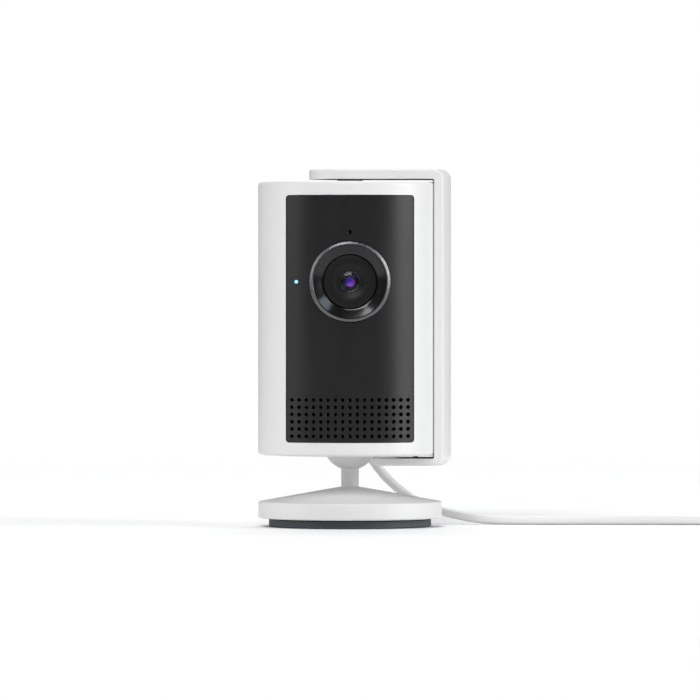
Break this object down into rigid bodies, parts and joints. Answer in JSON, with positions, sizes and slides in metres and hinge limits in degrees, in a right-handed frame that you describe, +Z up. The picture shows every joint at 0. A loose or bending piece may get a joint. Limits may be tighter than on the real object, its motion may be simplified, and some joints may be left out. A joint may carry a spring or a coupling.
{
  "type": "security camera",
  "caption": "Upright cylindrical indoor camera with a dark face, a swivelling C-shaped privacy cover, a ball joint, a round stand and a thin supply cable.",
  "frame": {"origin": "centre of the rubber foot's underside, on the surface that the camera stands on", "axes": "+Z up, -Y the way the lens looks, +X the side where the open privacy cover stands"},
  "size_m": [0.1621, 0.0711, 0.0954],
  "materials": {
    "white_plastic": "satin moulded",
    "grey_plastic": "matte moulded",
    "dark_rubber": "matte",
    "steel": "plain",
    "bright_metal": "diamond turned",
    "black_face": "satin",
    "black_plastic": "satin",
    "lens_glass": "coated",
    "circuit_board": "solder mask",
    "black_chip": "matte",
    "clear_plastic": "clear",
    "black_cloth": "woven",
    "white_cable": "satin PVC"
  },
  "bodies": {
    "base": {"base_shell": "white_plastic", "base_weight": "steel", "base_floor": "grey_plastic", "base_screws": "steel", "stem": "white_plastic", "ball_screw": "steel", "cable_floor": "white_cable", "cable_coil": "white_cable", "cable_tail": "white_cable", "coil_tie": "white_cable", "usb_a_plug": "white_cable", "usb_a_shell": "steel"},
    "bracket": {"mount_bracket": "grey_plastic", "rubber_foot": "dark_rubber"},
    "ball": {"ball": "white_plastic", "cable_drop": "white_cable"},
    "liner": {"socket_liner": "black_plastic"},
    "cover": {"privacy_cover": "white_plastic", "cover_magnet": "steel", "pivot_washer": "steel", "pivot_screw": "steel"},
    "button": {"reset_button": "white_plastic"},
    "head": {"board_screws": "steel", "chassis": "white_plastic", "faceplate": "black_face", "front_housing": "white_plastic", "front_lens": "lens_glass", "housing_screws": "steel", "image_sensor": "black_chip", "ir_filter": "lens_glass", "ir_led_board": "circuit_board", "ir_leds": "clear_plastic", "lens_barrel": "black_plastic", "lens_bezel": "black_plastic", "lens_holder": "black_plastic", "lens_trim_ring": "bright_metal", "light_pipe": "clear_plastic", "main_board": "circuit_board", "mic_seal": "dark_rubber", "micro_usb_plug": "white_cable", "micro_usb_shell": "steel", "microphone": "black_chip", "plug_boot": "white_cable", "power_board": "circuit_board", "processor": "black_chip", "rear_cover": "white_plastic", "rear_lens": "lens_glass", "reset_switch": "black_plastic", "retainer_screws": "steel", "sensor_board": "circuit_board", "sensor_flex": "circuit_board", "shield_can": "steel", "socket_cup": "black_plastic", "socket_retainer": "black_plastic", "speaker_driver": "black_plastic", "speaker_mesh": "black_cloth", "spring_washer": "steel", "status_led": "clear_plastic", "usb_port": "steel", "wifi_antenna": "circuit_board"}
  },
  "joints": [
    {"name": "bracket_twist", "type": "hinge", "parent": "base", "child": "bracket", "pos_m": [0, 0, 0], "axis": [0, 0, 1], "range_deg": [0, 36]},
    {"name": "head_pan", "type": "hinge", "parent": "base", "child": "ball", "pos_m": [0, 0, 0.0223], "axis": [0, 0, 1], "range_deg": [-45, 45], "deforming": ["cable_drop"]},
    {"name": "head_tilt", "type": "hinge", "parent": "ball", "child": "liner", "pos_m": [0, 0, 0.0223], "axis": [1, 0, 0], "range_deg": [-14, 14], "deforming": ["cable_drop"]},
    {"name": "head_lean", "type": "hinge", "parent": "liner", "child": "head", "pos_m": [0, 0, 0.0223], "axis": [0, 1, 0], "range_deg": [-12, 12], "deforming": ["cable_drop"]},
    {"name": "cover_turn", "type": "hinge", "parent": "head", "child": "cover", "pos_m": [0, 0, 0.094], "axis": [0, 0, 1], "range_deg": [-225, 45]},
    {"name": "reset_press", "type": "slide", "parent": "head", "child": "button", "axis": [0, -1, 0], "range_m": [0, 0.0004], "stiffness_N_per_m": 400}
  ]
}
